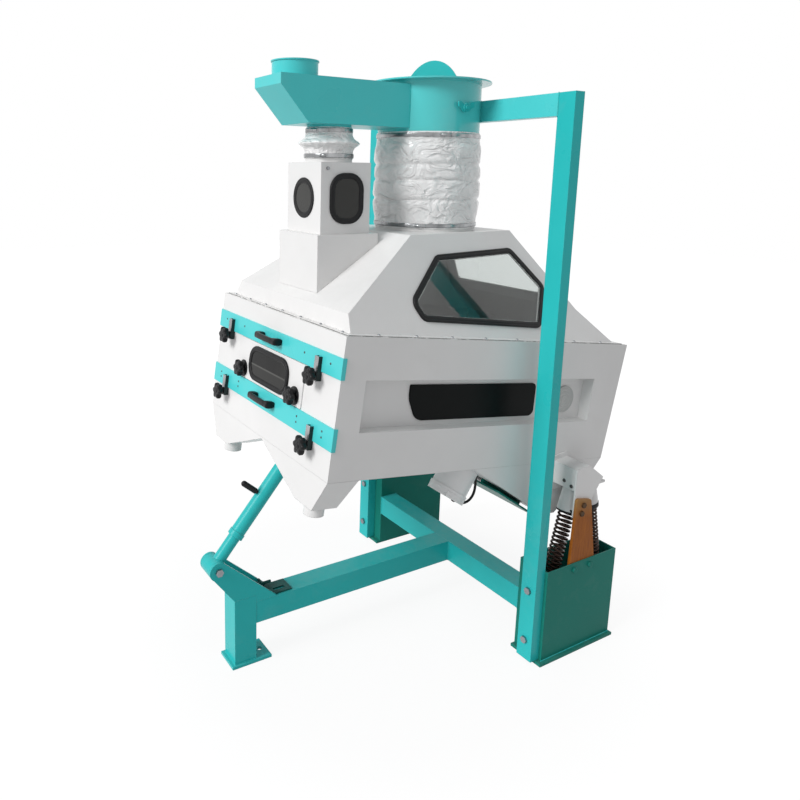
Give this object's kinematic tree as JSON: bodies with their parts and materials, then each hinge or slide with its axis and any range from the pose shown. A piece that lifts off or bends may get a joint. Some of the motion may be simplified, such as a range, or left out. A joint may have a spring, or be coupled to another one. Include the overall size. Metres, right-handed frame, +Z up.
{
  "type": "suction destoner",
  "caption": "Grain-cleaning destoner: tilted vibrating screen body on coil springs and a turnbuckle strut, with windowed suction hood, cloth sleeves, tube frame, air duct and feed chute.",
  "frame": {"origin": "on the floor, under the middle of the machine's outline", "axes": "+Z up; the strut and the drawer fronts face -Y; X runs across the machine"},
  "size_m": [1.09, 1.4815, 2.036],
  "materials": {
    "teal_paint": "semi-gloss turquoise paint",
    "white_paint": "semi-gloss white paint",
    "plain_steel": "zinc plated",
    "spring_steel": "black oxide",
    "black_plastic": "moulded matt black",
    "black_rubber": "matt",
    "dark_pane": "dark clear",
    "clear_pane": "clear",
    "gloss_black": "gloss",
    "board": "varnished plywood",
    "cloth": "coated white cloth"
  },
  "bodies": {
    "base": {"front_leg": "teal_paint", "front_cheeks": "teal_paint", "foot_plates": "teal_paint", "long_beam": "teal_paint", "rear_crossbeam": "teal_paint", "spring_box_right": "teal_paint", "spring_box_left": "teal_paint", "post_right": "teal_paint", "post_left": "teal_paint", "top_arms": "teal_paint", "frame_bolts": "plain_steel", "duct": "teal_paint", "feed_chute": "teal_paint", "big_sleeve": "cloth", "small_sleeve": "cloth", "upper_bands": "plain_steel", "stop_bracket": "plain_steel", "support_boards": "board"},
    "springs": {"rear_springs": "spring_steel"},
    "machine": {"body_tray": "white_paint", "front_hopper": "white_paint", "rear_hopper": "white_paint", "hood": "white_paint", "inlet_throat": "white_paint", "inlet_box": "white_paint", "lower_bands": "plain_steel", "window_seals": "black_rubber", "window_panes": "clear_pane", "side_windows": "gloss_black", "port_discs": "white_paint", "spring_brackets": "white_paint", "spring_cups": "white_paint", "strut_lugs": "teal_paint", "body_screws": "plain_steel", "outlet_guide": "teal_paint", "vibration_motors": "white_paint", "motor_lead": "black_rubber"},
    "flap": {"feed_flap": "plain_steel"},
    "upper_drawer": {"upper_bar": "teal_paint", "upper_handle": "black_plastic", "upper_deck": "plain_steel", "upper_clamps": "plain_steel"},
    "lower_drawer": {"lower_bar": "teal_paint", "lower_handle": "black_plastic", "lower_deck": "plain_steel", "lower_clamps": "plain_steel"},
    "door": {"inspection_door": "white_paint", "door_window": "dark_pane"},
    "upper_knob_right": {"knob_upper_right": "black_plastic"},
    "upper_knob_left": {"knob_upper_left": "black_plastic"},
    "lower_knob_right": {"knob_lower_right": "black_plastic"},
    "lower_knob_left": {"knob_lower_left": "black_plastic"},
    "door_knob_r": {"door_knob_right": "black_plastic"},
    "door_knob_l": {"door_knob_left": "black_plastic"},
    "strut_tube": {"strut_foot": "teal_paint"},
    "strut_screw": {"strut_rod": "teal_paint"},
    "strut_nut": {"strut_sleeve": "teal_paint", "strut_grip": "black_plastic"},
    "damper": {"damper_disc": "teal_paint"},
    "damper_nut": {"damper_wing": "teal_paint"}
  },
  "joints": [
    {"name": "deck_tilt", "type": "hinge", "parent": "base", "child": "springs", "pos_m": [0, 0.46325, 0.42], "axis": [1, 0, 0], "range_deg": [-2, 2], "deforming": ["rear_springs", "support_boards", "big_sleeve", "small_sleeve"]},
    {"name": "deck_throw", "type": "slide", "parent": "springs", "child": "machine", "axis": [0, -0.8192, 0.5736], "range_m": [-0.003, 0.003], "stiffness_N_per_m": 260000, "springref_m": 0.0066, "deforming": ["rear_springs", "support_boards", "big_sleeve", "small_sleeve"]},
    {"name": "strut_swing", "type": "hinge", "parent": "base", "child": "strut_tube", "pos_m": [0, -0.70875, 0.371], "axis": [1, 0, 0], "range_deg": [-2, 2]},
    {"name": "strut_reach", "type": "slide", "parent": "strut_tube", "child": "strut_screw", "axis": [0, 0.6428, 0.766], "range_m": [-0.034, 0.034]},
    {"name": "sleeve_turn", "type": "hinge", "parent": "strut_tube", "child": "strut_nut", "pos_m": [0, -0.70875, 0.371], "axis": [0, 0.6428, 0.766], "range_deg": [-480, 480]},
    {"name": "damper_turn", "type": "hinge", "parent": "base", "child": "damper", "pos_m": [0, 0.11525, 1.868], "axis": [1, 0, 0], "range_deg": [0, 90]},
    {"name": "wing_turn", "type": "hinge", "parent": "damper", "child": "damper_nut", "pos_m": [0.187, 0.11525, 1.868], "axis": [1, 0, 0], "continuous": true},
    {"name": "feed_flap_swing", "type": "hinge", "parent": "machine", "child": "flap", "pos_m": [0, -0.35975, 1.668], "axis": [1, 0, 0], "range_deg": [-35, 30]},
    {"name": "upper_drawer_slide", "type": "slide", "parent": "machine", "child": "upper_drawer", "axis": [0, -0.9918, 0.1281], "range_m": [0, 0.9]},
    {"name": "lower_drawer_slide", "type": "slide", "parent": "machine", "child": "lower_drawer", "axis": [0, -0.9918, 0.1281], "range_m": [0, 0.9]},
    {"name": "door_pull", "type": "slide", "parent": "machine", "child": "door", "axis": [0, -0.9918, 0.1281], "range_m": [0, 0.15]},
    {"name": "upper_knob_right_turn", "type": "hinge", "parent": "upper_drawer", "child": "upper_knob_right", "pos_m": [0.302, -0.51404, 1.07407], "axis": [0, 0.9918, -0.1281], "continuous": true},
    {"name": "upper_knob_left_turn", "type": "hinge", "parent": "upper_drawer", "child": "upper_knob_left", "pos_m": [-0.302, -0.51404, 1.07407], "axis": [0, 0.9918, -0.1281], "continuous": true},
    {"name": "lower_knob_right_turn", "type": "hinge", "parent": "lower_drawer", "child": "lower_knob_right", "pos_m": [0.302, -0.54068, 0.86779], "axis": [0, 0.9918, -0.1281], "continuous": true},
    {"name": "lower_knob_left_turn", "type": "hinge", "parent": "lower_drawer", "child": "lower_knob_left", "pos_m": [-0.302, -0.54068, 0.86779], "axis": [0, 0.9918, -0.1281], "continuous": true},
    {"name": "door_knob_right_turn", "type": "hinge", "parent": "door", "child": "door_knob_r", "pos_m": [0.181, -0.51287, 0.98166], "axis": [0, 0.9918, -0.1281], "continuous": true},
    {"name": "door_knob_left_turn", "type": "hinge", "parent": "door", "child": "door_knob_l", "pos_m": [-0.181, -0.51287, 0.98166], "axis": [0, 0.9918, -0.1281], "continuous": true}
  ],
  "couplings": [
    {"joint": "strut_swing", "follows": "deck_tilt", "ratio": -0.69354},
    {"joint": "strut_reach", "follows": "deck_tilt", "m_per_rad": -0.86631},
    {"joint": "sleeve_turn", "follows": "deck_tilt", "ratio": -226.8}
  ]
}
